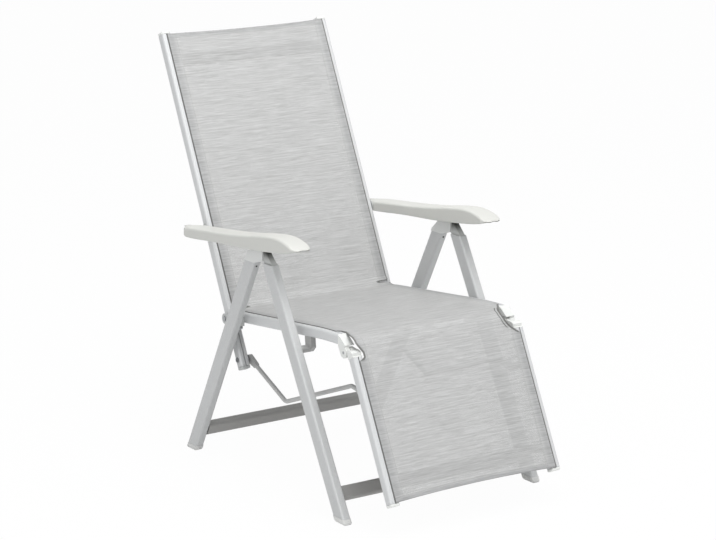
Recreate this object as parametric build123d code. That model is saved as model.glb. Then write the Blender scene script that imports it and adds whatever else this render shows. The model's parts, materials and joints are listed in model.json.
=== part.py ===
"""Reclining garden armchair with a synchronous leg rest.

Millimetres, +Z up, the sitter faces -Y and the sitter's left is +X. The side
view is drawn first, as (y, z) points with the front feet at y = 0; every piece
of the left side is built at +X and mirrored for the right. At the end the
whole chair is moved so that the origin lies under the centre of its box.
"""

from build123d import *
from math import atan2, cos, degrees, hypot, radians, sin, tan
import os

os.makedirs("parts", exist_ok=True)

# Lateral layout, measured from the middle plane
slot_x = 256.5
leg_x = 303.8
rod_x = 231.5
arm_outer_x = 335.0
arm_inner_x = 274.0

# Side rails: one aluminium extrusion with a groove for the edge cord
rail_width = 28.0
rail_depth = 28.0
rail_radius = 6.5
rail_wall = 1.8
groove_radius = 3.7
groove_mouth = 2.6
cord_radius = 3.3

# Sling cloth
cloth = 1.2
cloth_gap = 0.3
cutout_depth = 28.0
cord_start = 38.0
cloth_start = 26.0
seat_cloth_end = 605.0
seat_lap_angle = 34.0
rest_lap_angle = 18.0

# Legs and crossbars
leg_width = 25.0
leg_depth = 43.0
leg_radius = 6.0
leg_wall = 2.0
bar_height = 38.0
bar_depth = 25.0
rear_bar_ahead = 11.0
bar_radius = 7.0
foot_height = 15.0
foot_lip = 1.0

# Fits and fasteners
running_fit = 0.05
side_gap = 0.5
soft_gap = 0.3
bolt_radius = 4.0
head_radius = 7.0
head_height = 3.0
screw_radius = 2.5
overrun = 1.0

# Side view of the standing frame
front_lean = 29.2
rear_lean = 28.3
front_foot = (0.0, 0.0)
rear_foot = (758.6, 0.0)
apex = (385.6, 660.0)
front_bar_z = 66.0
rear_bar_z = 70.0
head_radius_above = 11.0
fork_cheek = 4.0
cheek_front_y = 365.0
cheek_low_z = 618.0
cheek_corner_radius = 6.0
front_tube_top = 616.0
rear_tube_top = 607.0
collar_height = 9.0
plug_length = 24.0
screw_below_head = 12.0

# Side view of the seat, back and leg rest
back_lean = 25.2
leg_rest_lean = 26.1
back_pivot = (621.0, 402.0)
back_above = 812.0
back_below = 138.0
rod_arm = 118.0
knee_pivot = (50.0, 437.0)
knee_offset = 42.0
leg_rest_start = 22.0
leg_rest_end = 404.0
seat_rear_top = (585.0, 429.6)
seat_slope = 6.18
knee_block_length = 24.7
seat_curve_radius = 1500.0
seat_curve_angle = 4.75
seat_pivot_z = 407.0
strap_width = 30.0
strap_thickness = 14.0
boss_radius = 10.0
cap_height = 8.0
crossbar_radius = 11.0
top_bar_height = 34.0
top_bar_depth = 18.0
top_bar_below_end = 76.0

# Hinge fittings
plate_thickness = 9.0
knuckle_radius = 15.0
hinge_toe_radius = 9.0
knee_cheek_radius = 14.5
knee_tongue_radius = 13.0
knee_block = 11.0
knee_room_radius = 20.0
fork_face_shares = [(0.36, 0.90), (-0.20, 0.49)]
tongue_face_shares = [
    (-0.40, 0.22),
    (-0.52, 0.26),
    (-0.74, 0.26),
    (-0.95, 0.17),
    (-0.95, -0.02),
]
stud_radius = 6.0
stud_z = 394.0
stud_setback = 0.0
saddle_length = 26.0
saddle_wrap = 7.0

# Push rods that tie the leg rest to the back
rod_radius = 6.0
rod_bend_radius = 24.0
rod_bend = (388.0, 216.0)
rod_knee = (70.0, 338.0)
eye_radius = 10.0
eye_reach = 34.0

# Armrests
arm_pivot_reach = 254.6
arm_wall = 3.5
arm_edge_radius = 8.0
arm_end_radius = 20.0
arm_front_y = 184.0
arm_length = 579.0
arm_crown_z = 703.5
arm_height = 85.0
arm_angle_share = 0.29
hub_radius = 9.0
recline_step = 7.0
steps_forward = 2
steps_back = 4
notch_depth = 5.0
notch_width = 11.0
rack_thickness = 8.0
pin_radius = 5.0
rack_clearance = 0.8


def step(point, lean, along, across=0.0):
    """Walk from a side-view point: down a line that leans back by an angle
    from the vertical, then out of it towards the sitter's side."""
    lean_angle = radians(lean)
    down = (-sin(lean_angle), -cos(lean_angle))
    front = (-cos(lean_angle), sin(lean_angle))
    return (
        point[0] + along * down[0] + across * front[0],
        point[1] + along * down[1] + across * front[1],
    )


def turned(point, centre, angle):
    """Turn a side-view point about a centre the way the back reclines."""
    turn = radians(angle)
    y = point[0] - centre[0]
    z = point[1] - centre[1]
    return (
        centre[0] + y * cos(turn) + z * sin(turn),
        centre[1] - y * sin(turn) + z * cos(turn),
    )


def section_plane(x, point, towards):
    """Plane across a bar that runs from one side-view point towards another;
    its own Y axis points out of the face that the sitter touches."""
    direction = Vector(0, towards[0] - point[0], towards[1] - point[1])
    return Plane(origin=(x, point[0], point[1]), x_dir=(1, 0, 0), z_dir=direction)


def run(sketch, x, start, end):
    """Extrude a cross-section from one side-view point to another."""
    length = hypot(end[0] - start[0], end[1] - start[1])
    return extrude(section_plane(x, start, end) * sketch, length)


def slab(sketch, x_low, x_high):
    """Extrude a side-view sketch between two distances from the middle."""
    return extrude(Plane.YZ.offset(x_low) * sketch, x_high - x_low)


def disc(point, radius):
    """Round spot in the side view."""
    return Pos(point[0], point[1]) * Circle(radius)


def pin(point, radius, x_low, x_high):
    """Round bar across the chair."""
    return slab(disc(point, radius), x_low, x_high)


def hull(*sketches):
    """Convex outline round several side-view sketches."""
    edges = []
    for sketch in sketches:
        edges.extend(sketch.edges())
    return make_hull(edges)


def bolt(point, x_low, x_high, radius=bolt_radius):
    """Bolt across the chair with a low head on its outer end."""
    shank = pin(point, radius, x_low, x_high)
    head = pin(point, head_radius, x_high, x_high + head_height)
    return shank + head


def on_right(shape):
    """The same piece on the other side."""
    return mirror(shape, about=Plane.YZ)


nodes = {}


def keep(name, *shapes):
    """Record one node of one or more separate solids."""
    nodes[name] = shapes


def keep_both(name, shape):
    """Record a left node and its mirrored right node."""
    keep(name + "_left", shape)
    keep(name + "_right", on_right(shape))


def keep_pair(name, shape):
    """Record one node that holds a left piece and its mirrored twin."""
    keep(name, shape, on_right(shape))


rail_inner_x = slot_x - rail_width / 2
rail_outer_x = slot_x + rail_width / 2
leg_inner_x = leg_x - leg_width / 2
leg_outer_x = leg_x + leg_width / 2
bolt_hole = bolt_radius + running_fit
face = rail_depth / 2
cloth_y = face + cloth_gap + cloth / 2
groove_y = face - rail_wall - groove_radius


def rail_section():
    """Rounded box section with a hollow behind and a cord groove in front."""
    outer = RectangleRounded(rail_width, rail_depth, rail_radius)
    hollow_depth = rail_depth - 3 * rail_wall - 2 * groove_radius
    hollow = RectangleRounded(rail_width - 2 * rail_wall, hollow_depth, rail_radius / 2)
    hollow_y = rail_wall + hollow_depth / 2 - face
    mouth = Pos(0, (groove_y + face + overrun) / 2) * Rectangle(
        groove_mouth, face + overrun - groove_y
    )
    groove = Pos(0, groove_y) * Circle(groove_radius)
    return outer - Pos(0, hollow_y) * hollow - groove - mouth


def cord_section():
    """Edge cord that lies in a rail's groove."""
    return Pos(0, groove_y) * Circle(cord_radius)


def cloth_section(half_width, necks):
    """Strip of cloth, with the edges that turn down to the cords."""
    strip = Pos(0, cloth_y) * Rectangle(2 * half_width + cloth, cloth)
    if necks:
        neck_low = groove_y + cord_radius + cloth_gap / 3
        neck_height = cloth_y - neck_low
        for side in (-1, 1):
            strip += Pos(side * half_width, neck_low + neck_height / 2) * Rectangle(
                cloth, neck_height
            )
    return strip


# Key points of the side view
back_top = step(back_pivot, back_lean, -back_above)
back_bottom = step(back_pivot, back_lean, back_below)
rod_rear = step(back_pivot, back_lean, rod_arm)
rod_front = (
    knee_pivot[0] + rod_rear[0] - back_pivot[0],
    knee_pivot[1] + rod_rear[1] - back_pivot[1],
)
arm_pivot = step(back_pivot, back_lean, -arm_pivot_reach)
front_lean_share = sin(radians(front_lean)) / cos(radians(front_lean))
rear_lean_share = sin(radians(rear_lean)) / cos(radians(rear_lean))
seat_pivot = (front_foot[0] + seat_pivot_z * front_lean_share, seat_pivot_z)


def front_leg_point(z):
    """Middle of the front leg at a height."""
    return (front_foot[0] + z * front_lean_share, z)


def rear_leg_point(z):
    """Middle of the rear leg at a height."""
    return (rear_foot[0] - z * rear_lean_share, z)


def leg_tube(leg_point, top_z, hole_point):
    """Flat-sided leg from its foot plug up to its head fitting, with a level
    cut at each end and a bolt hole in its inner side."""
    outer = RectangleRounded(leg_width, leg_depth, leg_radius)
    inner = RectangleRounded(
        leg_width - 2 * leg_wall, leg_depth - 2 * leg_wall, leg_radius - leg_wall
    )
    tube = run(outer - inner, leg_x, leg_point(-leg_depth), leg_point(top_z + leg_depth))
    middle = leg_point((foot_height + top_z) / 2)
    tube &= Pos(leg_x, middle[0], middle[1]) * Box(
        2 * leg_width, rear_foot[0], top_z - foot_height
    )
    return tube - pin(hole_point, bolt_hole, leg_inner_x - overrun, leg_x)


def foot_plug(foot, lean_share, sign):
    """Moulded foot: the leg's own outline carried down to the floor, a little
    proud of the tube above it."""
    outline = RectangleRounded(
        leg_width + 2 * foot_lip, leg_depth + 2 * foot_lip, leg_radius + foot_lip
    )
    low = (foot[0] - sign * leg_depth * lean_share, foot[1] - leg_depth)
    high = (foot[0] + sign * leg_depth * lean_share, foot[1] + leg_depth)
    plug = run(outline, leg_x, low, high)
    keep_zone = Pos(leg_x, foot[0], foot_height / 2) * Box(
        2 * leg_depth + leg_width, 4 * leg_depth, foot_height
    )
    return plug & keep_zone


# Standing frame, front part; the rear leg's fork sweeps past the front leg's
# upper rear corner as the legs fold
collar_top_z = rear_tube_top + collar_height
collar_corner_y = rear_leg_point(collar_top_z)[0] - leg_depth / 2 / cos(radians(rear_lean))
fork_sweep = hypot(collar_corner_y - apex[0], collar_top_z - apex[1]) + fork_cheek + side_gap
front_leg = leg_tube(front_leg_point, front_tube_top, seat_pivot)
front_leg -= slab(disc(apex, fork_sweep), leg_inner_x - overrun, leg_outer_x + overrun)
keep_both("front_leg", front_leg)
keep_pair("front_feet", foot_plug(front_foot, front_lean_share, 1))


def crossbar(z, leg_point, ahead=0.0):
    """Flat tube between the inner faces of two legs, in line with their lean."""
    outer = RectangleRounded(bar_depth, bar_height, bar_radius)
    inner = RectangleRounded(
        bar_depth - 2 * leg_wall, bar_height - 2 * leg_wall, bar_radius - leg_wall
    )
    centre = leg_point(z)
    above = leg_point(z + bar_height)
    tilt = degrees(atan2(above[0] - centre[0], bar_height))
    sketch = Pos(centre[0] - ahead, centre[1]) * Rot(0, 0, -tilt) * (outer - inner)
    return slab(sketch, -leg_inner_x, leg_inner_x)


keep("front_crossbar", crossbar(front_bar_z, front_leg_point))


def level_slice(leg_point, low_z, high_z, inset):
    """Side view of a leg between two heights, drawn in by an inset."""
    half = (leg_depth / 2 - inset) / cos(radians((front_lean + rear_lean) / 2))
    low = leg_point(low_z)
    high = leg_point(high_z)
    return make_face(
        Polyline(
            (low[0] - half, low[1]),
            (low[0] + half, low[1]),
            (high[0] + half, high[1]),
            (high[0] - half, high[1]),
            close=True,
        )
    )


def front_head():
    """Tongue: from inside the front leg's open end up to the apex, between
    the other fitting's cheeks."""
    plug = level_slice(
        front_leg_point, front_tube_top - plug_length, front_tube_top, leg_wall + side_gap
    )
    mouth = level_slice(
        front_leg_point, front_tube_top - side_gap, front_tube_top, leg_wall + side_gap
    )
    outline = hull(mouth, disc(apex, head_radius_above)) + plug
    tongue = slab(
        outline,
        leg_inner_x + fork_cheek + side_gap,
        leg_outer_x - fork_cheek - side_gap,
    )
    return tongue - pin(apex, bolt_hole, leg_inner_x - overrun, leg_outer_x + overrun)


def rear_head():
    """Fork: a block on the rear leg's end with two broad cheeks that reach
    forward past the apex and cover the tongue."""
    root = level_slice(rear_leg_point, rear_tube_top, rear_tube_top + collar_height, 0)
    seam_discs = [
        disc((cheek_front_y + cheek_corner_radius, height), cheek_corner_radius)
        for height in (cheek_low_z + cheek_corner_radius, apex[1] - cheek_corner_radius)
    ]
    outline = hull(root, disc(apex, head_radius_above), *seam_discs)
    inner_cheek = slab(outline, leg_inner_x, leg_inner_x + fork_cheek)
    outer_cheek = slab(outline, leg_outer_x - fork_cheek, leg_outer_x)
    leg_outline = RectangleRounded(leg_width, leg_depth, leg_radius)
    block = run(
        leg_outline,
        leg_x,
        rear_leg_point(rear_tube_top - leg_depth),
        rear_leg_point(rear_tube_top + leg_depth),
    )
    middle = rear_leg_point(rear_tube_top + collar_height / 2)
    block &= Pos(leg_x, middle[0], middle[1]) * Box(
        2 * leg_width, 2 * leg_depth, collar_height
    )
    fork = block + inner_cheek + outer_cheek
    return fork - pin(apex, bolt_hole, leg_inner_x - overrun, leg_outer_x + overrun)


keep_both("front_leg_head", front_head())
keep_both("rear_leg_head", rear_head())
apex_pin = pin(apex, bolt_radius, leg_inner_x - overrun, leg_outer_x + overrun)
for low_x, high_x in (
    (arm_inner_x + arm_wall + 2 * side_gap, leg_inner_x - side_gap),
    (leg_outer_x + side_gap, arm_outer_x - arm_wall - 2 * side_gap),
):
    apex_pin += pin(apex, pin_radius, low_x, high_x)
keep_pair("apex_pins", apex_pin)

# Standing frame, rear part
stud = (rear_leg_point(stud_z)[0] + stud_setback, stud_z)
screw_z = rear_tube_top - screw_below_head
screw_shift = leg_depth / 2 / cos(radians(rear_lean))
screw_seat = (rear_leg_point(screw_z)[0] - screw_shift, screw_z)
screw_inside = (
    screw_seat[0] + 2 * leg_wall * cos(radians(rear_lean)),
    screw_seat[1] + 2 * leg_wall * sin(radians(rear_lean)),
)
screw_outside = (
    screw_seat[0] - leg_wall / 2 * cos(radians(rear_lean)),
    screw_seat[1] - leg_wall / 2 * sin(radians(rear_lean)),
)
rear_leg = leg_tube(rear_leg_point, rear_tube_top, stud)
rear_leg -= run(Circle(screw_radius + running_fit), leg_x, screw_outside, screw_inside)
keep_both("rear_leg", rear_leg)
keep_pair("rear_feet", foot_plug(rear_foot, rear_lean_share, -1))
keep("rear_crossbar", crossbar(rear_bar_z, rear_leg_point, rear_bar_ahead))
keep_pair(
    "leg_screws", run(Circle(screw_radius), leg_x, screw_outside, screw_inside)
)
stud_shape = pin(stud, stud_radius, rail_outer_x + 2 * side_gap, leg_inner_x)
stud_shape += pin(stud, bolt_radius, leg_inner_x - overrun, leg_x)
keep_pair("seat_rest_studs", stud_shape)

# Seat frame
seat_start = (
    seat_rear_top[0] - face * sin(radians(seat_slope)),
    seat_rear_top[1] - face * cos(radians(seat_slope)),
)
seat_curve_run = seat_curve_radius * (
    sin(radians(seat_slope)) - sin(radians(seat_slope - seat_curve_angle))
)
seat_mid_y = knee_pivot[0] + knee_block_length + seat_curve_run
seat_mid = (
    seat_mid_y,
    seat_start[1] + (seat_start[0] - seat_mid_y) * tan(radians(seat_slope)),
)


def seat_path(x, rear_trim=0.0):
    """Centre line of a seat rail: straight, then bending down a little
    towards the knee."""
    back_end = (
        seat_start[0] - rear_trim * cos(radians(seat_slope)),
        seat_start[1] + rear_trim * sin(radians(seat_slope)),
    )
    with BuildLine(Plane.YZ.offset(x)) as path:
        Line(back_end, seat_mid)
        JernArc(
            start=seat_mid,
            tangent=(-cos(radians(seat_slope)), sin(radians(seat_slope))),
            radius=seat_curve_radius,
            arc_size=seat_curve_angle,
        )
    return path.line


def seat_sweep(sketch, x, rear_trim=0.0):
    """Carry a cross-section along the seat rail's line."""
    path = seat_path(x, rear_trim)
    start = path @ 0
    towards = path % 0
    plane = Plane(origin=start, x_dir=(1, 0, 0), z_dir=towards)
    return sweep(plane * sketch, path)


seat_front = seat_path(0) @ 1
seat_front_dir = seat_path(0) % 1
seat_tube = seat_sweep(rail_section(), slot_x)


def seat_level(y):
    """Height of the seat rail's centre line above a place on its straight
    part, or near it."""
    return seat_start[1] + (seat_start[0] - y) * sin(radians(seat_slope)) / cos(
        radians(seat_slope)
    )


keep_both("seat_rail", seat_tube)


def strap():
    """Hanger under the seat rail whose boss runs out to the front leg."""
    under = seat_level(seat_pivot[0]) - face / cos(radians(seat_slope))
    slant = Pos(seat_pivot[0], under) * Rot(0, 0, -seat_slope) * Pos(0, -strap_width / 2)
    plate_outline = hull(
        slant * Rectangle(strap_width, strap_width), disc(seat_pivot, boss_radius)
    )
    plate = slab(
        plate_outline, slot_x - strap_thickness / 2, slot_x + strap_thickness / 2
    )
    boss = pin(seat_pivot, boss_radius, slot_x, leg_inner_x - side_gap)
    return (plate + boss) - pin(
        seat_pivot, bolt_hole, rail_inner_x - overrun, leg_outer_x
    )


keep_both("seat_strap", strap())
strap_inner_x = slot_x - strap_thickness / 2
seat_bolt = pin(seat_pivot, bolt_radius, strap_inner_x - head_height, leg_x)
seat_bolt += pin(seat_pivot, head_radius, strap_inner_x - head_height, strap_inner_x)
keep_pair("seat_pivot_bolts", seat_bolt)


def seat_cross_tube(y):
    """Round tube between the seat rails."""
    centre = (y, seat_level(y) - face + crossbar_radius + rail_wall)
    ring = disc(centre, crossbar_radius) - disc(centre, crossbar_radius - rail_wall)
    return slab(ring, -rail_inner_x, rail_inner_x)


keep("seat_rear_tube", seat_cross_tube(seat_start[0] - 2 * strap_width))
keep("seat_front_tube", seat_cross_tube(seat_pivot[0] - 2 * strap_width))

plate_low_x = rail_outer_x + side_gap
plate_high_x = plate_low_x + plate_thickness
hinge_front = (seat_start[0] - hinge_toe_radius, seat_start[1])
hinge_outline = hull(
    disc(back_pivot, knuckle_radius), disc(hinge_front, hinge_toe_radius)
)
hinge_plate = slab(hinge_outline, plate_low_x, plate_high_x) - pin(
    back_pivot, bolt_hole, plate_low_x - overrun, plate_high_x + overrun
)
keep_both("back_hinge_plate", hinge_plate)
keep_pair("back_pivot_bolts", bolt(back_pivot, rail_inner_x, plate_high_x))


def saddle():
    """Block on the seat rail's side that comes down on the rear leg's stud."""
    top = (stud[0], seat_level(stud[0]))
    body = hull(
        Pos(top[0], top[1]) * Rectangle(saddle_length, saddle_wrap),
        disc(stud, stud_radius + saddle_wrap),
    )
    open_below = Pos(stud[0], stud[1] - saddle_length / 2) * Rectangle(
        2 * saddle_length, saddle_length
    )
    forward = Pos(stud[0] - saddle_length / 2, stud[1]) * Rectangle(
        saddle_length, 2 * (stud_radius + soft_gap)
    )
    cup = body - open_below - disc(stud, stud_radius + soft_gap) - forward
    return slab(cup, rail_outer_x, leg_inner_x - side_gap)


keep_both("seat_saddle", saddle())

# Knee hinge
cheek_x = slot_x + side_gap / 2


def knee_point(shares):
    """Side-view point near the knee, as shares of the rail's reach from it."""
    return (
        knee_pivot[0] + shares[0] * knee_offset,
        knee_pivot[1] + shares[1] * knee_offset,
    )


def knee_fork():
    """Seat side of the knee: a block on the rail's end with a slanting face
    and one cheek beside the pin."""
    end_top = (
        seat_front.Y + face * seat_front_dir.Z,
        seat_front.Z - face * seat_front_dir.Y,
    )
    end_low = (
        seat_front.Y - face * seat_front_dir.Z,
        seat_front.Z + face * seat_front_dir.Y,
    )
    slant = [knee_point(shares) for shares in fork_face_shares]
    body = make_face(Polyline(end_top, *slant, knee_pivot, end_low, close=True))
    base = make_face(Polyline(end_top, slant[0], end_low, close=True))
    cheek = body + hull(base, disc(knee_pivot, knee_cheek_radius))
    block = slab(body - disc(knee_pivot, knee_room_radius), rail_inner_x, rail_outer_x)
    return (block + slab(cheek, cheek_x, rail_outer_x)) - pin(
        knee_pivot, bolt_hole, rail_inner_x - overrun, rail_outer_x + overrun
    )


def leg_rest_point(along, across):
    """Point of the leg rest, measured down from the knee pivot and out of it
    towards the sitter's side."""
    return step(knee_pivot, leg_rest_lean, along, across)


rest_centre = knee_offset - face
rest_top = leg_rest_point(leg_rest_start, rest_centre)
rest_bottom = leg_rest_point(leg_rest_end, rest_centre)


def knee_tongue():
    """Leg rest side of the knee: a block on the rail's top with an arm that
    reaches back to the pin beside the other fitting's cheek."""
    front_corner = leg_rest_point(leg_rest_start, knee_offset)
    rear_corner = leg_rest_point(leg_rest_start, knee_offset - rail_depth)
    top = [knee_point(shares) for shares in tongue_face_shares]
    body = make_face(Polyline(*top, front_corner, rear_corner, close=True))
    block = slab(
        body - disc(knee_pivot, knee_cheek_radius + side_gap), rail_inner_x, rail_outer_x
    )
    spine = make_face(
        Polyline(top[0], top[1], rear_corner, knee_pivot, close=True)
    )
    arm = slab(
        hull(spine, disc(knee_pivot, knee_tongue_radius)), rail_inner_x, cheek_x - side_gap
    )
    return (block + arm) - pin(
        knee_pivot, bolt_hole, rail_inner_x - overrun, rail_outer_x
    )


keep_both("knee_fork", knee_fork())
keep_both("knee_tongue", knee_tongue())
keep_pair("knee_pins", pin(knee_pivot, bolt_radius, rail_inner_x, rail_outer_x))

# Leg rest frame
keep_both("leg_rest_rail", run(rail_section(), slot_x, rest_top, rest_bottom))


def end_cap(start, direction_point):
    """Plastic cap that closes a rail's end, as wide as the rail."""
    outline = RectangleRounded(rail_width, rail_depth, rail_radius)
    length = hypot(direction_point[0] - start[0], direction_point[1] - start[1])
    cap = run(outline, slot_x, start, direction_point)
    far_face = cap.faces().sort_by(
        lambda found: -(Vector(0, *direction_point) - found.center()).length
    )[-1]
    return fillet(far_face.edges(), min(length / 3, rail_radius / 2))


keep_pair(
    "leg_rest_end_caps",
    end_cap(rest_bottom, leg_rest_point(leg_rest_end + cap_height, rest_centre)),
)
rest_bar = leg_rest_point(leg_rest_end - 2 * strap_width, rest_centre)
rest_tube = disc(rest_bar, crossbar_radius) - disc(rest_bar, crossbar_radius - rail_wall)
keep("leg_rest_tube", slab(rest_tube, -rail_inner_x, rail_inner_x))

# Back frame
back_tube = run(rail_section(), slot_x, back_top, back_bottom)
for point, radius in (
    (back_pivot, bolt_hole),
    (rod_rear, bolt_hole),
    (arm_pivot, bolt_hole),
):
    back_tube -= pin(point, radius, rail_inner_x - overrun, rail_outer_x + overrun)
keep_both("back_rail", back_tube)
keep_pair(
    "back_top_caps", end_cap(back_top, step(back_top, back_lean, -cap_height))
)
keep_pair(
    "back_bottom_caps", end_cap(back_bottom, step(back_bottom, back_lean, cap_height))
)
top_bar_section = RectangleRounded(top_bar_depth, top_bar_height, bar_radius)
top_bar_section -= RectangleRounded(
    top_bar_depth - 2 * rail_wall, top_bar_height - 2 * rail_wall, bar_radius - rail_wall
)
top_bar = step(back_top, back_lean, top_bar_below_end)
keep(
    "back_top_bar",
    slab(
        Pos(top_bar[0], top_bar[1]) * Rot(0, 0, -back_lean) * top_bar_section,
        -rail_inner_x,
        rail_inner_x,
    ),
)

# Push rods
eye_low_x = rod_x - rod_radius
eye_high_x = rod_x + rod_radius


def push_rod():
    """Bent rod between two flat eyes; the bend keeps it clear of the sling."""
    rear_from = turned(
        (rod_rear[0] - eye_reach, rod_rear[1]),
        rod_rear,
        -degrees(atan2(rod_rear[1] - rod_bend[1], rod_rear[0] - rod_bend[0])),
    )
    front_angle = degrees(
        atan2(rod_front[1] - rod_knee[1], rod_knee[0] - rod_front[0])
    )
    front_to = turned((rod_front[0] + eye_reach, rod_front[1]), rod_front, front_angle)
    points = [
        (rod_x, rear_from[0], rear_from[1]),
        (rod_x, rod_bend[0], rod_bend[1]),
        (rod_x, rod_knee[0], rod_knee[1]),
        (rod_x, front_to[0], front_to[1]),
    ]
    path = FilletPolyline(*points, radius=[rod_bend_radius, rod_bend_radius])
    start_plane = Plane(origin=path @ 0, x_dir=(1, 0, 0), z_dir=path % 0)
    return sweep(start_plane * Circle(rod_radius), path), rear_from, front_to


rod_shape, rod_rear_end, rod_front_end = push_rod()
rear_eye = slab(
    hull(disc(rod_rear, eye_radius), disc(rod_rear_end, rod_radius + overrun)),
    eye_low_x,
    eye_high_x,
) - pin(rod_rear, bolt_hole, eye_low_x - overrun, eye_high_x + overrun)
front_eye = slab(
    hull(disc(rod_front, eye_radius), disc(rod_front_end, rod_radius + overrun)),
    eye_low_x,
    eye_high_x,
) - pin(
    rod_front, bolt_hole + soft_gap, eye_low_x - overrun, eye_high_x + overrun
)
keep_both("push_rod", rod_shape + rear_eye + front_eye)
rod_bolt = pin(rod_rear, bolt_radius, eye_low_x, rail_outer_x)
rod_bolt += pin(rod_rear, head_radius, eye_high_x + side_gap, rail_inner_x)
rod_bolt += pin(rod_rear, head_radius, rail_outer_x, rail_outer_x + head_height)
keep_pair("rod_rear_bolts", rod_bolt)


def rod_lug():
    """Ear on the leg rest rail with the pin that the rod's front eye turns on."""
    foot = leg_rest_point(rod_arm, rest_centre)
    ear = slab(
        hull(disc(foot, eye_radius), disc(rod_front, eye_radius)),
        eye_high_x + side_gap,
        rail_inner_x,
    )
    return ear + pin(rod_front, bolt_radius, eye_low_x, eye_high_x + side_gap)


keep_pair("rod_lugs", rod_lug())

# Sling and its edge cords
cutout_x = slot_x - cutout_depth
keep(
    "sling_back",
    run(cloth_section(slot_x, True), 0, back_top, step(back_pivot, back_lean, -cord_start))
    + run(
        cloth_section(cutout_x, False),
        0,
        step(back_pivot, back_lean, -cord_start),
        step(back_pivot, back_lean, -cloth_start),
    ),
)
keep_pair(
    "back_edge_cords",
    run(cord_section(), slot_x, back_top, step(back_pivot, back_lean, -cord_start)),
)
keep_pair("seat_edge_cords", seat_sweep(cord_section(), slot_x, strap_width))


def knee_cloth(radius, low_angle, high_angle):
    """Strip of cloth that bends round the knee, between two angles from
    straight up."""
    middle = (low_angle + high_angle) / 2
    half = (high_angle - low_angle) / 2
    ring = disc(knee_pivot, radius + cloth / 2) - disc(knee_pivot, radius - cloth / 2)
    reach = 2 * knee_offset
    wedge = make_face(
        Polyline(
            knee_pivot,
            turned((knee_pivot[0], knee_pivot[1] + reach), knee_pivot, half - middle),
            turned((knee_pivot[0], knee_pivot[1] + 2 * reach), knee_pivot, -middle),
            turned((knee_pivot[0], knee_pivot[1] + reach), knee_pivot, -half - middle),
            close=True,
        )
    )
    return slab(ring & wedge, -cutout_x, cutout_x)


cloth_radius = knee_offset + cloth_gap + cloth / 2
lap_radius = cloth_radius - cloth - 2 * cloth_gap
seat_cloth = seat_sweep(cloth_section(slot_x, True), 0, strap_width)
seat_rear_y = seat_start[0] - strap_width
rear_strip_y = (seat_rear_y + seat_cloth_end) / 2
seat_cloth_rear = slab(
    Pos(rear_strip_y, seat_level(rear_strip_y))
    * Rot(0, 0, -seat_slope)
    * Pos(0, cloth_y)
    * Rectangle(seat_cloth_end - seat_rear_y, cloth),
    -cutout_x,
    cutout_x,
)
seat_cloth_front = slab(
    Pos((seat_front.Y + knee_pivot[0]) / 2, knee_pivot[1] + cloth_radius)
    * Rectangle(seat_front.Y - knee_pivot[0] + overrun, cloth),
    -cutout_x,
    cutout_x,
)
seat_lap = knee_cloth(cloth_radius, 0, seat_lap_angle)
keep("sling_seat", seat_cloth + seat_cloth_rear + seat_cloth_front + seat_lap)
rest_cloth_low = leg_rest_point(leg_rest_end, rest_centre)
rest_cloth_high = leg_rest_point(leg_rest_start + knee_block, rest_centre)
rest_cloth_tip = leg_rest_point(0, rest_centre)
rest_cloth = run(cloth_section(slot_x, True), 0, rest_cloth_high, rest_cloth_low)
rest_cloth += run(cloth_section(cutout_x, False), 0, rest_cloth_tip, rest_cloth_high)
rest_lap = knee_cloth(lap_radius, rest_lap_angle, 90 - leg_rest_lean)
rest_lap_foot = slab(
    Pos(*leg_rest_point(0, (cloth_radius + lap_radius) / 2))
    * Rot(0, 0, -leg_rest_lean)
    * Rectangle(cloth_radius - lap_radius + cloth, cloth),
    -cutout_x,
    cutout_x,
)
keep("sling_leg_rest", rest_cloth + rest_lap + rest_lap_foot)
keep_pair(
    "leg_rest_edge_cords", run(cord_section(), slot_x, rest_cloth_high, rest_cloth_low)
)

# Armrests: side view as shares of the length, from the nose, and of the
# height, from the lowest point of the tail
arm_x = (arm_inner_x + arm_outer_x) / 2
arm_low_z = arm_crown_z - arm_height
arm_top_shares = [
    (1.020, 0.250),
    (0.920, 0.335),
    (0.812, 0.418),
    (0.636, 0.547),
    (0.382, 0.788),
    (0.218, 0.965),
    (0.142, 1.000),
    (0.069, 0.941),
    (0.007, 0.788),
    (-0.035, 0.665),
]
arm_tail_shares = [(0.986, 0.190), (1.000, 0.110), (0.976, 0.000)]
arm_under_shares = [
    (0.732, 0.124),
    (0.418, 0.306),
    (0.145, 0.524),
    (0.033, 0.665),
    (0.000, 0.735),
]


def arm_point(shares):
    """Side-view point of the armrest from its shares."""
    return (
        arm_front_y + shares[0] * arm_length,
        arm_low_z + shares[1] * arm_height,
    )


def arm_bar(inset):
    """Bar with rounded long edges that follows the armrest's top line, inset
    all round by a wall; its ends are rounded in plan."""
    width = arm_outer_x - arm_inner_x - 2 * inset
    section = Pos(0, -inset - arm_height / 2) * RectangleRounded(
        width, arm_height, arm_edge_radius - inset / 2
    )
    with BuildLine(Plane.YZ.offset(arm_x)) as path:
        Spline(*[arm_point(shares) for shares in arm_top_shares])
    line = path.line
    plane = Plane(origin=line @ 0, x_dir=(1, 0, 0), z_dir=line % 0)
    bar = sweep(plane * section, line)
    plan = RectangleRounded(width, arm_length - 2 * inset, arm_end_radius - inset)
    middle = arm_front_y + arm_length / 2
    return bar & extrude(Pos(arm_x, middle, 0) * plan, 2 * apex[1])


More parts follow.
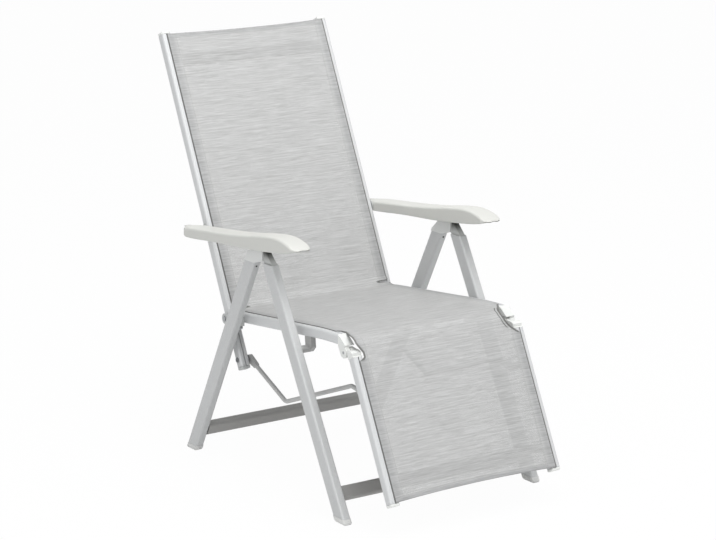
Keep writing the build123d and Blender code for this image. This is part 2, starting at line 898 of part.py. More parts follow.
def arm_shell():
    """Moulded armrest, open below: a crowned top, a drooping nose, a round
    tail and a skirt that deepens under the crown."""
    tail_points = [arm_point(shares) for shares in arm_tail_shares]
    under_points = [arm_point(shares) for shares in arm_under_shares]
    above = arm_low_z + 2 * arm_height
    under = Spline(tail_points[-1], *under_points)
    tail = Spline(*tail_points)
    lid = Polyline(
        under_points[-1],
        (under_points[-1][0], above),
        (tail_points[0][0], above),
        tail_points[0],
    )
    outline = make_face([*under.edges(), *tail.edges(), *lid.edges()])
    body = arm_bar(0.0) & slab(outline, arm_inner_x - overrun, arm_outer_x + overrun)
    body -= arm_bar(arm_wall)
    return body - pin(
        arm_pivot,
        hub_radius + running_fit,
        arm_inner_x - overrun,
        arm_inner_x + 2 * arm_wall,
    )


def pin_place(recline):
    """Where the apex pin lies in the armrest at a recline angle."""
    pivot_now = turned(arm_pivot, back_pivot, recline)
    offset_now = (
        arm_pivot[0] + apex[0] - pivot_now[0],
        arm_pivot[1] + apex[1] - pivot_now[1],
    )
    return turned(offset_now, arm_pivot, -arm_angle_share * recline)


def rack_outline():
    """Saw-toothed strip over the path that the apex pin takes."""
    low_edge = []
    for index in range(-steps_forward, steps_back + 1):
        place = pin_place(index * recline_step)
        root = place[1] + pin_radius + rack_clearance + notch_depth
        low_edge.append((place[0] + notch_width / 2, root))
        low_edge.append((place[0] - notch_width / 2, root))
        if index < steps_back:
            between = pin_place((index + 1 / 2) * recline_step)
            low_edge.append((between[0], between[1] + pin_radius + rack_clearance))
    first = low_edge[0]
    last = low_edge[-1]
    upper = [
        (last[0], last[1] + arm_height),
        (first[0], first[1] + arm_height),
    ]
    return make_face(Polyline(*low_edge, *upper, close=True))


def arm_rack():
    """The two toothed strips inside an armrest, one each side of the legs;
    they end under its top."""
    outline = rack_outline()
    room = arm_bar(arm_wall)
    inner_strip = slab(
        outline, arm_inner_x + arm_wall, arm_inner_x + arm_wall + rack_thickness
    )
    outer_strip = slab(
        outline, arm_outer_x - arm_wall - rack_thickness, arm_outer_x - arm_wall
    )
    return inner_strip & room, outer_strip & room


keep_both("armrest", arm_shell())
inner_strip, outer_strip = arm_rack()
keep("arm_rack_left", inner_strip, outer_strip)
keep("arm_rack_right", on_right(inner_strip), on_right(outer_strip))
hub = pin(arm_pivot, hub_radius, rail_outer_x + side_gap, arm_inner_x + 2 * arm_wall)
hub += pin(
    arm_pivot, knuckle_radius - side_gap, rail_outer_x + side_gap, arm_inner_x - side_gap
)
hub -= pin(arm_pivot, bolt_hole, rail_inner_x, arm_outer_x)
keep_both("arm_hub", hub)
keep_pair("arm_pivot_bolts", bolt(arm_pivot, rail_inner_x, arm_inner_x + 2 * arm_wall + side_gap))

# Place the origin under the middle of the chair's box and write the nodes
everything = Compound([shape for group in nodes.values() for shape in group])
box = everything.bounding_box()
middle_y = (box.min.Y + box.max.Y) / 2
for name, group in nodes.items():
    solids = [
        Pos(0, -middle_y, -box.min.Z) * solid
        for shape in group
        for solid in shape.solids()
    ]
    export_step(solids[0] if len(solids) == 1 else Compound(solids), f"parts/{name}.step")

print("box", box.size, "middle_y", middle_y, "floor", box.min.Z)
for label, point in (
    ("apex", apex),
    ("seat_pivot", seat_pivot),
    ("back_pivot", back_pivot),
    ("knee_pivot", knee_pivot),
    ("rod_rear", rod_rear),
    ("rod_front", rod_front),
    ("arm_pivot", arm_pivot),
):
    print("pivot", label, round(point[0] - middle_y, 3), round(point[1] - box.min.Z, 3))
print("nodes", len(nodes))
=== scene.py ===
# %% [markdown]
# # Reclining garden armchair in light grey mesh
#
# The chair stands on two pairs of slim aluminium legs. Its backrest, seat and
# leg rest are three pairs of grooved rails, and one long sling of woven mesh
# is stretched over all three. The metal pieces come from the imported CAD
# model, which this script loads as a fixed frame. The script adds what the
# eye needs on top: the cloth, the moulded armrests, the finishes, the light
# and the camera. All numbers are metres, and the sitter looks along -Y.

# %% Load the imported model
import json
import math

import bmesh
import bpy
import numpy as np
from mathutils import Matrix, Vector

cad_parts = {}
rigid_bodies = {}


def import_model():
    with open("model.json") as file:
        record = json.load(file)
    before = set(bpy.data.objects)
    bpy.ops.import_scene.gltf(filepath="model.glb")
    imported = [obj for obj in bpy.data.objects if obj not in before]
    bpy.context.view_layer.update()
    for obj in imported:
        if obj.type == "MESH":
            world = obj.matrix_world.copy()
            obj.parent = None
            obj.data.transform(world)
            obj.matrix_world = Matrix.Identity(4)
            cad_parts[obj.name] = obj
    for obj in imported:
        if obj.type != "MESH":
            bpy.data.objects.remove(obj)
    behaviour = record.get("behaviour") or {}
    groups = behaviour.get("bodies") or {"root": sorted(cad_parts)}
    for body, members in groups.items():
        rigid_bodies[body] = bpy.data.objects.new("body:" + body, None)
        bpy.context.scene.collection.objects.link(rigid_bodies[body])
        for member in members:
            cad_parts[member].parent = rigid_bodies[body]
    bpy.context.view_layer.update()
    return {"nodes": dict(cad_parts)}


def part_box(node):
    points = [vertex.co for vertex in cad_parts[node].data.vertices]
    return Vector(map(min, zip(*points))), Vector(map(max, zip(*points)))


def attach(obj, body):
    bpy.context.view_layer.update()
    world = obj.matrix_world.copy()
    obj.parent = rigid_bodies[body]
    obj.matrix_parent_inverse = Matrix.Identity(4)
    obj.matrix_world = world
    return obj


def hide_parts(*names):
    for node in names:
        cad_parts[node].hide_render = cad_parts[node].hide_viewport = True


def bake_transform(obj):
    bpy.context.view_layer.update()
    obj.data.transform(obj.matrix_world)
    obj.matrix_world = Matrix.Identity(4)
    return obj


for old in list(bpy.data.objects):
    bpy.data.objects.remove(old)
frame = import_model()
nodes = frame["nodes"]
print("nodes loaded:", len(nodes))

# %% [markdown]
# ## Camera
#
# A studio photographer stands well back with a long lens, so that the chair's
# lines stay almost parallel. A long lens far away could be imitated with an
# orthographic camera, but then the far leg rest would be as wide as the back,
# and in the picture it isn't. The camera is therefore a real one, at the
# distance that the converging rails give.

# %% Camera
PHOTO_WIDTH = 716
PHOTO_FOCAL = 2520.0
SENSOR = 0.036

camera_data = bpy.data.cameras.new("studio_camera")
camera_data.sensor_width = SENSOR * 1000
camera_data.lens = PHOTO_FOCAL / PHOTO_WIDTH * SENSOR * 1000
camera_data.clip_end = 60.0
camera = bpy.data.objects.new("studio_camera", camera_data)
bpy.context.scene.collection.objects.link(camera)
bpy.context.scene.camera = camera

azimuth = math.radians(-33.86)
elevation = math.radians(13.84)
roll = math.radians(0.08)
camera.location = (-3.681, -5.5119, 2.177)
camera.rotation_euler = (math.radians(90) - elevation, roll, azimuth)
print("lens in mm:", round(camera_data.lens, 1))

# %% [markdown]
# ## Colours, nodes and meshes
#
# Small helpers carry the whole script. The first turns a hex colour, as a
# colour picker shows it, into the linear numbers that Blender works with,
# which nobody can read as a colour.

# %% Colours
def linear(hex_colour):
    """sRGB hex to linear RGBA: below 0.04045 divide by 12.92, above it take
    ((value + 0.055) / 1.055) to the power 2.4."""
    text = hex_colour.lstrip("#")
    value = np.array([int(text[i : i + 2], 16) for i in (0, 2, 4)]) / 255.0
    low = value / 12.92
    high = ((value + 0.055) / 1.055) ** 2.4
    return (*np.where(value <= 0.04045, low, high).tolist(), 1.0)


pure_white = (1.0, 1.0, 1.0, 1.0)
print("middle grey as linear:", round(linear("#808080")[0], 3))

# %% [markdown]
# ### Shader nodes
#
# A finish is a small tree of nodes. One helper adds any kind of node with its
# values and links in a single call, so a tree reads in the order in which
# values pass along it. A second one starts a material.

# %% Nodes
def add_node(owner, kind, links=(), values=(), **settings):
    """Add one node to a material or to the world. Each link is (source, input
    name or number), where a source is an output socket, or a node that
    stands for its first output. Each value is (input name or number, value),
    and settings are attributes of the node."""
    node = owner.node_tree.nodes.new("ShaderNode" + kind)
    for name, value in settings.items():
        setattr(node, name, value)
    for name, value in values:
        node.inputs[name].default_value = value
    for source, name in links:
        output = source.outputs[0] if hasattr(source, "outputs") else source
        owner.node_tree.links.new(output, node.inputs[name])
    return node


def new_material(name, colour, **shader_values):
    """A material with one Principled shader, ready for more nodes."""
    material = bpy.data.materials.new(name)
    material.use_nodes = True
    material.diffuse_color = linear(colour)
    shader = material.node_tree.nodes["Principled BSDF"]
    shader.inputs["Base Color"].default_value = linear(colour)
    for socket, value in shader_values.items():
        shader.inputs[socket.replace("_", " ")].default_value = value
    return material, shader


# %% [markdown]
# ### Meshes from arrays
#
# Moulded and woven surfaces here are formulas on a grid. Adding points one by
# one would be slow, so whole arrays of points and faces go into a mesh at once.

# %% Meshes
def grid_faces(rows, columns, closed=False):
    """Quads between neighbouring points of a grid numbered row by row. With
    closed, the last column also joins the first one."""
    row = np.arange(rows - 1)[:, None]
    column = np.arange(columns if closed else columns - 1)[None, :]
    after = (column + 1) % columns
    corners = [
        row * columns + column,
        row * columns + after,
        (row + 1) * columns + after,
        (row + 1) * columns + column,
    ]
    return np.stack([c + 0 * row for c in corners], axis=-1).reshape(-1, 4)


def mesh_object(name, points, faces, material):
    """Put arrays of points and of equal-sided faces into a smoothly shaded
    mesh object that sits at the origin."""
    mesh = bpy.data.meshes.new(name)
    points = np.asarray(points, float).reshape(-1, 3)
    faces = np.asarray(faces, int)
    sides = faces.shape[1]
    mesh.vertices.add(len(points))
    mesh.vertices.foreach_set("co", points.ravel())
    mesh.loops.add(faces.size)
    mesh.loops.foreach_set("vertex_index", faces.ravel())
    mesh.polygons.add(len(faces))
    mesh.polygons.foreach_set("loop_start", np.arange(len(faces)) * sides)
    mesh.update(calc_edges=True)
    mesh.validate()
    mesh.polygons.foreach_set("use_smooth", np.full(len(mesh.polygons), True))
    mesh.materials.append(material)
    piece = bpy.data.objects.new(name, mesh)
    bpy.context.scene.collection.objects.link(piece)
    return piece


def capped_loops(loops):
    """Points and triangles of a surface through closed loops of points, with
    a fan from the middle of the first loop and of the last one."""
    rows, columns = loops.shape[:2]
    points = loops.reshape(-1, 3)
    first = np.arange(columns)
    last = first + (rows - 1) * columns
    centres = np.array([points[first].mean(axis=0), points[last].mean(axis=0)])
    sides = grid_faces(rows, columns, closed=True)
    first_fan = np.c_[np.roll(first, -1), first, 0 * first + rows * columns]
    last_fan = np.c_[last, np.roll(last, -1), 0 * first + rows * columns + 1]
    triangles = np.r_[sides[:, [0, 1, 2]], sides[:, [0, 2, 3]], first_fan, last_fan]
    return np.r_[points, centres], triangles


def clean_normals(piece):
    """Merge doubled points and turn every face outwards."""
    solid = bmesh.new()
    solid.from_mesh(piece.data)
    bmesh.ops.remove_doubles(solid, verts=solid.verts, dist=0.00002)
    bmesh.ops.recalc_face_normals(solid, faces=solid.faces)
    solid.to_mesh(piece.data)
    solid.free()


print("faces of a closed grid of 3 by 4:", len(grid_faces(3, 4, closed=True)))

# %% [markdown]
# ## Floor and light
#
# The chair was photographed in a white studio, where soft light comes from
# everywhere and a little more from above and in front. A pale floor catches
# the shadow. To the camera the surroundings are plain white, and the same
# white is shown to glossy surfaces so that the metal picks it up. The lamps
# stay at a plain level, so a colour renders about as it is written.

# %% Light
ambient_strength = 0.5


def sees_white(owner):
    """1 for rays from the camera, from glossy and from transmitting surfaces,
    and 0 for the rays that only light the scene."""
    rays = add_node(owner, "LightPath").outputs
    direct = add_node(
        owner, "Math", [(rays["Is Camera Ray"], 0), (rays["Is Glossy Ray"], 1)], operation="MAXIMUM"
    )
    return add_node(owner, "Math", [(direct, 0), (rays["Is Transmission Ray"], 1)], operation="MAXIMUM")


world = bpy.data.worlds.new("studio")
bpy.context.scene.world = world
world.use_nodes = True
world.node_tree.nodes.clear()
ambient = add_node(
    world, "Background", values=[("Color", linear("#f4f6f8")), ("Strength", ambient_strength)]
)
backdrop = add_node(world, "Background", values=[("Color", pure_white), ("Strength", 1.0)])
surroundings = add_node(world, "MixShader", [(sees_white(world), "Fac"), (ambient, 1), (backdrop, 2)])
add_node(world, "OutputWorld", [(surroundings, "Surface")])


def softbox(name, place, target, size, power):
    """Square area lamp that looks from its place at a target."""
    lamp = bpy.data.lights.new(name, "AREA")
    lamp.shape = "SQUARE"
    lamp.size = size
    lamp.energy = power
    holder = bpy.data.objects.new(name, lamp)
    bpy.context.scene.collection.objects.link(holder)
    away = np.array(place, float) - np.array(target, float)
    holder.location = place
    turn = math.atan2(away[0], -away[1])
    tilt = math.acos(away[2] / np.linalg.norm(away))
    holder.rotation_euler = (tilt, 0.0, turn)


softbox("overhead_softbox", (0.2, -0.6, 4.2), (0.0, 0.0, 0.5), 3.0, 85.0)
softbox("front_softbox", (-0.5, -2.8, 4.3), (0.0, 0.1, 0.7), 2.6, 60.0)
softbox("camera_side_softbox", (-5.0, -2.5, 2.2), (0.0, 0.0, 0.5), 2.5, 50.0)

# %% [markdown]
# ### Floor
#
# The studio floor is white paper that runs on into the background. A plain pale
# floor would show a grey horizon, so to the camera most of it is the same
# white as the surroundings, and the rest still takes the chair's shadow.

# %% Floor
floor_corner = 12.0
floor_whiteness = 0.97
floor_material, floor_shader = new_material("studio_floor", "#f2f2f2", Roughness=0.9)
floor_share = add_node(
    floor_material, "Math", [(sees_white(floor_material), 0)], [(1, floor_whiteness)], operation="MULTIPLY"
)
floor_white = add_node(floor_material, "Emission", values=[("Color", pure_white), ("Strength", 1.0)])
floor_mix = add_node(
    floor_material, "MixShader", [(floor_share, "Fac"), (floor_shader, 1), (floor_white, 2)]
)
floor_output = floor_material.node_tree.nodes["Material Output"]
floor_material.node_tree.links.new(floor_mix.outputs[0], floor_output.inputs["Surface"])
floor = mesh_object(
    "studio_floor",
    [(floor_corner * x, floor_corner * y, 0.0) for x, y in ((-1, -1), (1, -1), (1, 1), (-1, 1))],
    [(0, 1, 2, 3)],
    floor_material,
)
print("floor side in metres:", 2 * floor_corner)

# %% [markdown]
# ## Finishes
#
# Each finish starts from what the real surface is and how it was made. A flat
# colour would look like paper, so each one also gets the fine unevenness that
# its making leaves: flakes in silver powder coat, the etched grain of a
# mould, the drawing lines on a zinc-plated rod.

# %% A shared way to make a surface slightly uneven
noise_low = 0.3
noise_high = 0.7


def uneven_material(name, colour, size, colours, roughness, bump, **shader_values):
    """A material with noise of a real size in metres, in the piece's own
    coordinates. From its usual low to its usual high value the noise shifts
    the colour between two hex values and the roughness between two numbers,
    and it lifts the surface by a height in metres."""
    material, shader = new_material(name, colour, **shader_values)
    place = add_node(material, "TexCoord")
    grain = add_node(
        material,
        "TexNoise",
        [(place.outputs["Object"], "Vector")],
        [("Scale", 1.0 / size), ("Detail", 3.0), ("Roughness", 0.55)],
    )
    ramp = add_node(material, "ValToRGB", [(grain.outputs["Fac"], "Fac")])
    for element, position, colour in zip(
        ramp.color_ramp.elements, (noise_low, noise_high), colours
    ):
        element.position = position
        element.color = linear(colour)
    gloss = add_node(
        material,
        "MapRange",
        [(grain.outputs["Fac"], "Value")],
        [
            ("From Min", noise_low), ("From Max", noise_high),
            ("To Min", roughness[0]), ("To Max", roughness[1]),
        ],
    )
    relief = add_node(
        material, "Bump", [(grain.outputs["Fac"], "Height")], [("Distance", bump), ("Strength", 1.0)]
    )
    tree = material.node_tree
    tree.links.new(ramp.outputs["Color"], shader.inputs["Base Color"])
    tree.links.new(gloss.outputs["Result"], shader.inputs["Roughness"])
    tree.links.new(relief.outputs["Normal"], shader.inputs["Normal"])
    return material


# %% [markdown]
# ### Silver powder coat on aluminium
#
# The rails and legs are extruded aluminium under a silver powder coat: a grey
# lacquer with a few metal flakes. A fully metallic coat would mirror the
# white studio all round, and a tube's front and side would look alike, so
# only a small share is metallic. Faces towards the front light then turn
# almost white and the sides stay grey, a little darker on the legs. The
# flakes are far under a millimetre and drawn at about one and a half, so that
# they survive in the picture.

# %% Silver powder coat
silver_coat = uneven_material(
    "silver_powder_coated_aluminium", "#d3d4d4", 0.0014,
    ("#cdcecf", "#d9dada"), (0.42, 0.52), 0.00003, Metallic=0.15, Roughness=0.46,
)

leg_coat = uneven_material(
    "darker_silver_powder_coated_aluminium", "#c9caca", 0.0016,
    ("#bfc0c0", "#d3d4d4"), (0.54, 0.68), 0.00004, Metallic=0.25, Roughness=0.6,
)
print("coats:", silver_coat.name, leg_coat.name)

# %% [markdown]
# ### Darker tubes, rods and bolts
#
# The crossbars and the tubes behind the cloth have the same silver coat but
# look down or away from the light, so they look mid grey. That shade is
# painted into a darker copy of the coat. The push rods and straps are painted
# steel, and the bolts are zinc-plated.

# %% Tubes, rods and bolts
# Painted shade: the silver coat darkened to mid grey for the tubes that face away from the light.
shaded_coat = uneven_material(
    "silver_powder_coat_with_painted_shade", "#a2a19f", 0.0014,
    ("#9a9997", "#aaa9a7"), (0.55, 0.65), 0.00003, Metallic=0.4, Roughness=0.6,
)

painted_steel = uneven_material(
    "grey_painted_steel", "#b9b9b8", 0.0016,
    ("#b2b2b1", "#c0c0bf"), (0.45, 0.56), 0.00003, Metallic=0.3, Roughness=0.5,
)

zinc_steel = uneven_material(
    "zinc_plated_steel", "#a4a6a8", 0.0007,
    ("#9a9c9f", "#aeb0b2"), (0.26, 0.4), 0.00002, Metallic=1.0, Roughness=0.32,
)

black_screw = uneven_material(
    "blackened_steel_screw", "#2a2b2c", 0.0006,
    ("#232425", "#333435"), (0.4, 0.5), 0.00002, Metallic=0.8, Roughness=0.45,
)
print("metals:", shaded_coat.name, painted_steel.name, zinc_steel.name, black_screw.name)

# %% [markdown]
# ### Moulded plastics
#
# Armrests, knee fittings and caps are white polypropylene. Its skin takes the
# fine etched grain of the steel mould, which spreads highlights but keeps
# them visible. The fittings in the legs and the feet are light grey
# polyamide, a little coarser and duller because it is filled with glass. The
# armrests' white is written a little darker than it looks, because their
# tops face the softboxes. The feet are paler than the other fittings, and the
# cords in the rails' grooves are black vinyl.

# %% Moulded plastics
white_plastic = uneven_material(
    "moulded_white_polypropylene", "#e6e7e4", 0.0009,
    ("#e3e4e1", "#eaebe8"), (0.36, 0.48), 0.00006, Roughness=0.42,
    Subsurface_Weight=0.08, Subsurface_Radius=(0.004, 0.004, 0.004), Subsurface_Scale=1.0,
)

grey_plastic = uneven_material(
    "moulded_grey_polyamide", "#bfc1c0", 0.0012,
    ("#b9bbba", "#c5c7c6"), (0.44, 0.58), 0.00008, Roughness=0.5,
)

armrest_plastic = uneven_material(
    "moulded_pale_armrest_polypropylene", "#d2d2cd", 0.0009,
    ("#cfcfca", "#d5d5d0"), (0.44, 0.56), 0.00006, Roughness=0.5,
)

foot_plastic = uneven_material(
    "moulded_pale_foot_polyamide", "#d8d8d6", 0.0012,
    ("#d2d2d0", "#dededc"), (0.44, 0.58), 0.00008, Roughness=0.5,
)

black_cord = uneven_material(
    "black_vinyl_cord", "#1d1e1f", 0.0011,
    ("#191a1b", "#232425"), (0.5, 0.6), 0.00004, Roughness=0.55,
)
print("plastics:", white_plastic.name, grey_plastic.name, armrest_plastic.name)

# %% [markdown]
# ### Leg heads under the armrest
#
# The fitting in a rear leg is a pale moulded cheek. The front leg is an open
# tube there, and the fitting in it has the shade of the armrest and of the
# tube's hollow end painted into its colour: nearly black at the front,
# clearing towards the seam. The painted shade fades over 28 mm down the leg
# and 14 mm back, which a plain colour could not show.

# %% Leg heads
head_plastic = uneven_material(
    "moulded_pale_polyamide", "#dddedc", 0.0012,
    ("#d8d9d7", "#e2e3e1"), (0.44, 0.58), 0.00008, Roughness=0.5,
)

tube_end_plastic_with_painted_shade, tube_end_shader = new_material(
    "moulded_polyamide_with_painted_shade", "#c9cac8", Roughness=0.6
)
head_place = add_node(tube_end_plastic_with_painted_shade, "TexCoord")
head_axes = add_node(tube_end_plastic_with_painted_shade, "SeparateXYZ", [(head_place.outputs["Object"], 0)])
fades = []
for axis, light_at, dark_at in (("Z", 0.618, 0.646), ("Y", -0.034, -0.048)):
    fades.append(
        add_node(
            tube_end_plastic_with_painted_shade,
            "MapRange",
            [(head_axes.outputs[axis], "Value")],
            [("From Min", light_at), ("From Max", dark_at)],
            interpolation_type="SMOOTHSTEP",
        )
    )
painted_hollow_shade = add_node(tube_end_plastic_with_painted_shade, "Math", [(fades[0], 0), (fades[1], 1)], operation="MULTIPLY")
painted_hollow_shade_tone = add_node(tube_end_plastic_with_painted_shade, "ValToRGB", [(painted_hollow_shade, "Fac")])
# Painted shade: from the fitting's own grey to nearly black under the armrest.
for element, colour in zip(painted_hollow_shade_tone.color_ramp.elements, ("#cbccca", "#3c3c3a")):
    element.color = linear(colour)
tube_end_plastic_with_painted_shade.node_tree.links.new(painted_hollow_shade_tone.outputs["Color"], tube_end_shader.inputs["Base Color"])
print("leg heads:", head_plastic.name, tube_end_plastic_with_painted_shade.name)

# %% [markdown]
# ### Mesh cloth
#
# The cloth is woven from vinyl-coated polyester yarn in two light greys. Small
# square openings between the yarns let the light and the crossbar behind show
# through. A picture of a weave could stand for them, but it would blur close
# up, so they are worked out from the cloth's own flat coordinates in metres.
# The real yarns probably lie about a millimetre apart. They are drawn at
# 1.6 mm, because finer openings vanish in the picture.

# %% Yarns and openings
yarn_pitch = 0.0016
opening_share = 0.34
sling_mesh, sling_shader = new_material(
    "woven_vinyl_coated_polyester_mesh", "#c9c9c7", Roughness=0.62
)
cloth_uv = add_node(sling_mesh, "UVMap", uv_map="cloth")
cloth_axes = add_node(sling_mesh, "SeparateXYZ", [(cloth_uv.outputs["UV"], 0)])
reading = {}
for attribute in ("side_distance", "end_distance", "edge_distance", "free_edge", "deep_edge"):
    reading[attribute] = add_node(sling_mesh, "Attribute", attribute_name=attribute).outputs["Fac"]
yarns = {}
for axis in ("X", "Y"):
    pitches = add_node(
        sling_mesh, "Math", [(cloth_axes.outputs[axis], 0)], [(1, 1 / yarn_pitch)], operation="MULTIPLY"
    )
    within = add_node(sling_mesh, "Math", [(pitches, 0)], operation="FRACT")
    opening = add_node(sling_mesh, "Math", [(within, 0)], [(1, opening_share)], operation="LESS_THAN")
    hump = add_node(
        sling_mesh, "Math", [(within, 0)], [(1, 0.5 + opening_share / 2)], operation="SUBTRACT"
    )
    flank = add_node(sling_mesh, "Math", [(hump, 0)], operation="ABSOLUTE")
    yarns[axis] = (opening, flank)
print("open share of the cloth:", round(opening_share**2, 3))

# %% [markdown]
# ### Hems
#
# The cloth's sides are sewn round the cords and its ends are folded over, so
# it is doubled there: the openings close, and the doubled cloth looks a little
# darker towards the rail. Separate strips of cloth would need a seam in the
# mesh. Each point of the sheet carries its distance from the side and from
# the end instead, and the hems follow from these.

# %% Hems
side_hem = 0.0290
end_hem = 0.0145
full_tone_share = 0.45
hem_parts = []
hem_fades = []
for attribute, width in (("side_distance", side_hem), ("end_distance", end_hem)):
    hem_parts.append(
        add_node(sling_mesh, "Math", [(reading[attribute], 0)], [(1, width)], operation="LESS_THAN")
    )
    hem_fades.append(
        add_node(
            sling_mesh,
            "MapRange",
            [(reading[attribute], "Value")],
            [("From Min", width), ("From Max", full_tone_share * width)],
        )
    )
hem = add_node(sling_mesh, "Math", [(hem_parts[0], 0), (hem_parts[1], 1)], operation="MAXIMUM")
hem_fade = add_node(sling_mesh, "Math", [(hem_fades[0], 0), (hem_fades[1], 1)], operation="MAXIMUM")
gap = add_node(sling_mesh, "Math", [(yarns["X"][0], 0), (yarns["Y"][0], 1)], operation="MULTIPLY")
single = add_node(sling_mesh, "Math", [(hem, 1)], [(0, 1.0)], operation="SUBTRACT")
open_gap = add_node(sling_mesh, "Math", [(gap, 0), (single, 1)], operation="MULTIPLY")
cover = add_node(sling_mesh, "Math", [(open_gap, 1)], [(0, 1.0)], operation="SUBTRACT")
sling_mesh.node_tree.links.new(cover.outputs[0], sling_shader.inputs["Alpha"])
print("hems in mm:", round(side_hem * 1000, 1), round(end_hem * 1000, 1))

# %% [markdown]
# ### Weft streaks
#
# The yarn is dyed unevenly along its length, so the cloth has short sideways
# streaks of lighter and darker grey. Noise that is stretched across the chair
# gives them: a long one for the broad streaks and a short one for single
# yarns. A wave pattern would repeat itself visibly.

# %% Weft streaks
long_streak = (9.5, 260.0, 1.0)
short_streak = (30.0, 700.0, 1.0)
streaks = []
for scale, detail in ((long_streak, 2.0), (short_streak, 3.0)):
    stretched = add_node(sling_mesh, "Mapping", [(cloth_uv.outputs["UV"], "Vector")], [("Scale", scale)])
    streaks.append(
        add_node(
            sling_mesh,
            "TexNoise",
            [(stretched, "Vector")],
            [("Scale", 1.0), ("Detail", detail), ("Roughness", 0.6)],
        ).outputs["Fac"]
    )
streak = add_node(sling_mesh, "Math", [(streaks[0], 0), (streaks[1], 1)], operation="ADD")
shade = add_node(sling_mesh, "MapRange", [(streak, "Value")], [("From Min", 0.7), ("From Max", 1.3)])
yarn_colour = add_node(sling_mesh, "ValToRGB", [(shade, "Fac")])
for element, position, colour in zip(
    yarn_colour.color_ramp.elements, (0.1, 0.9), ("#aaaaa9", "#cacac9")
):
    element.position = position
    element.color = linear(colour)
print("yarn greys:", [round(e.color[0], 3) for e in yarn_colour.color_ramp.elements])

# %% [markdown]
# ### Bound edges and seams
#
# Where the cloth's edge is free, at the knee and at the crease, it turns
# under, and its shade is painted as a dark band along the edge. The deep
# cut-out has a second seam beside it. Where the edge is held, the groove's
# shade is painted on the last millimetres.
# A row of stitches runs along each hem. They are tones on the sheet, not
# threads of their own, because a thread is thinner than a pixel here.

# %% Painted edge shade
turned_edge_shade_width = 0.0052
second_seam_place = 0.0110
second_seam_half_width = 0.0016
groove_shade_width = 0.0024
# Painted shade: a dark band along a free edge, where the cloth turns under.
turned_edge_shade = add_node(
    sling_mesh, "Math", [(reading["edge_distance"], 0)], [(1, turned_edge_shade_width)], operation="LESS_THAN"
)
second_seam = add_node(
    sling_mesh,
    "Math",
    [(reading["edge_distance"], 0)],
    [(1, second_seam_place), (2, second_seam_half_width)],
    operation="COMPARE",
)
turned_edge_shade_and_seam_parts = [
    add_node(sling_mesh, "Math", [(band, 0), (reading[where], 1)], operation="MULTIPLY")
    for band, where in ((turned_edge_shade, "free_edge"), (second_seam, "deep_edge"))
]
turned_edge_shade_and_seam = add_node(sling_mesh, "Math", [(turned_edge_shade_and_seam_parts[0], 0), (turned_edge_shade_and_seam_parts[1], 1)], operation="MAXIMUM")
in_groove = add_node(
    sling_mesh, "Math", [(reading["side_distance"], 0)], [(1, groove_shade_width)], operation="LESS_THAN"
)
held_edge = add_node(sling_mesh, "Math", [(reading["free_edge"], 1)], [(0, 1.0)], operation="SUBTRACT")
groove_shade = add_node(sling_mesh, "Math", [(in_groove, 0), (held_edge, 1)], operation="MULTIPLY")
dark_edge = add_node(sling_mesh, "Math", [(turned_edge_shade_and_seam, 0), (groove_shade, 1)], operation="MAXIMUM")
print("binding width in mm:", round(turned_edge_shade_width * 1000, 1))

# %% Stitches and tones
side_seam = 0.0272
end_seam = 0.0126
half_thread = 0.0006
stitch_pitch = 0.006
stitch_share = 0.7
seam_lines = []
for attribute, place, along in (("side_distance", side_seam, "Y"), ("end_distance", end_seam, "X")):
    line = add_node(
        sling_mesh, "Math", [(reading[attribute], 0)], [(1, place), (2, half_thread)], operation="COMPARE"
    )
    stitches = add_node(
        sling_mesh, "Math", [(cloth_axes.outputs[along], 0)], [(1, 1 / stitch_pitch)], operation="MULTIPLY"
    )
    within = add_node(sling_mesh, "Math", [(stitches, 0)], operation="FRACT")
    thread = add_node(sling_mesh, "Math", [(within, 0)], [(1, stitch_share)], operation="LESS_THAN")
    seam_lines.append(add_node(sling_mesh, "Math", [(line, 0), (thread, 1)], operation="MULTIPLY"))
seam = add_node(sling_mesh, "Math", [(seam_lines[0], 0), (seam_lines[1], 1)], operation="MAXIMUM")

# A mix node lists its sockets for numbers and vectors before those for colours.
first_colour, second_colour, mixed_colour = 6, 7, 2
tone = yarn_colour.outputs["Color"]
# The last tone paints the shade along the cloth's edges, and the second seam, dark grey.
for factor, blend, colour in (
    (hem_fade, "MULTIPLY", "#e9e9ea"),
    (seam, "MIX", "#a2a2a1"),
    (dark_edge, "MIX", "#71716f"),
):
    tone = add_node(
        sling_mesh,
        "Mix",
        [(factor, "Factor"), (tone, first_colour)],
        [(second_colour, linear(colour))],
        data_type="RGBA",
        blend_type=blend,
    ).outputs[mixed_colour]
sling_mesh.node_tree.links.new(tone, sling_shader.inputs["Base Color"])
print("stitch length in mm:", round(stitch_pitch * stitch_share * 1000, 1))

# %% [markdown]
# ### Relief of the yarns
#
# Each yarn is round, so light catches one flank of it. The yarns are far
# thinner than the chair's outline could show, so bump is enough: the height
# falls off from the middle of each yarn.

# %% Relief of the yarns
yarn_relief_height = 0.0004
yarn_height = add_node(sling_mesh, "Math", [(yarns["X"][1], 0), (yarns["Y"][1], 1)], operation="MINIMUM")
yarn_relief = add_node(
    sling_mesh,
    "Bump",
    [(yarn_height, "Height")],
    [("Distance", yarn_relief_height), ("Strength", 0.6)],
    invert=True,
)
sling_mesh.node_tree.links.new(yarn_relief.outputs[0], sling_shader.inputs["Normal"])
print("nodes in the cloth material:", len(sling_mesh.node_tree.nodes))

# %% [markdown]
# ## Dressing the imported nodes
#
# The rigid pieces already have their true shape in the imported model, so they
# only need a finish. A table of name beginnings keeps this in one place, and
# the longest beginning that fits a node's name counts.

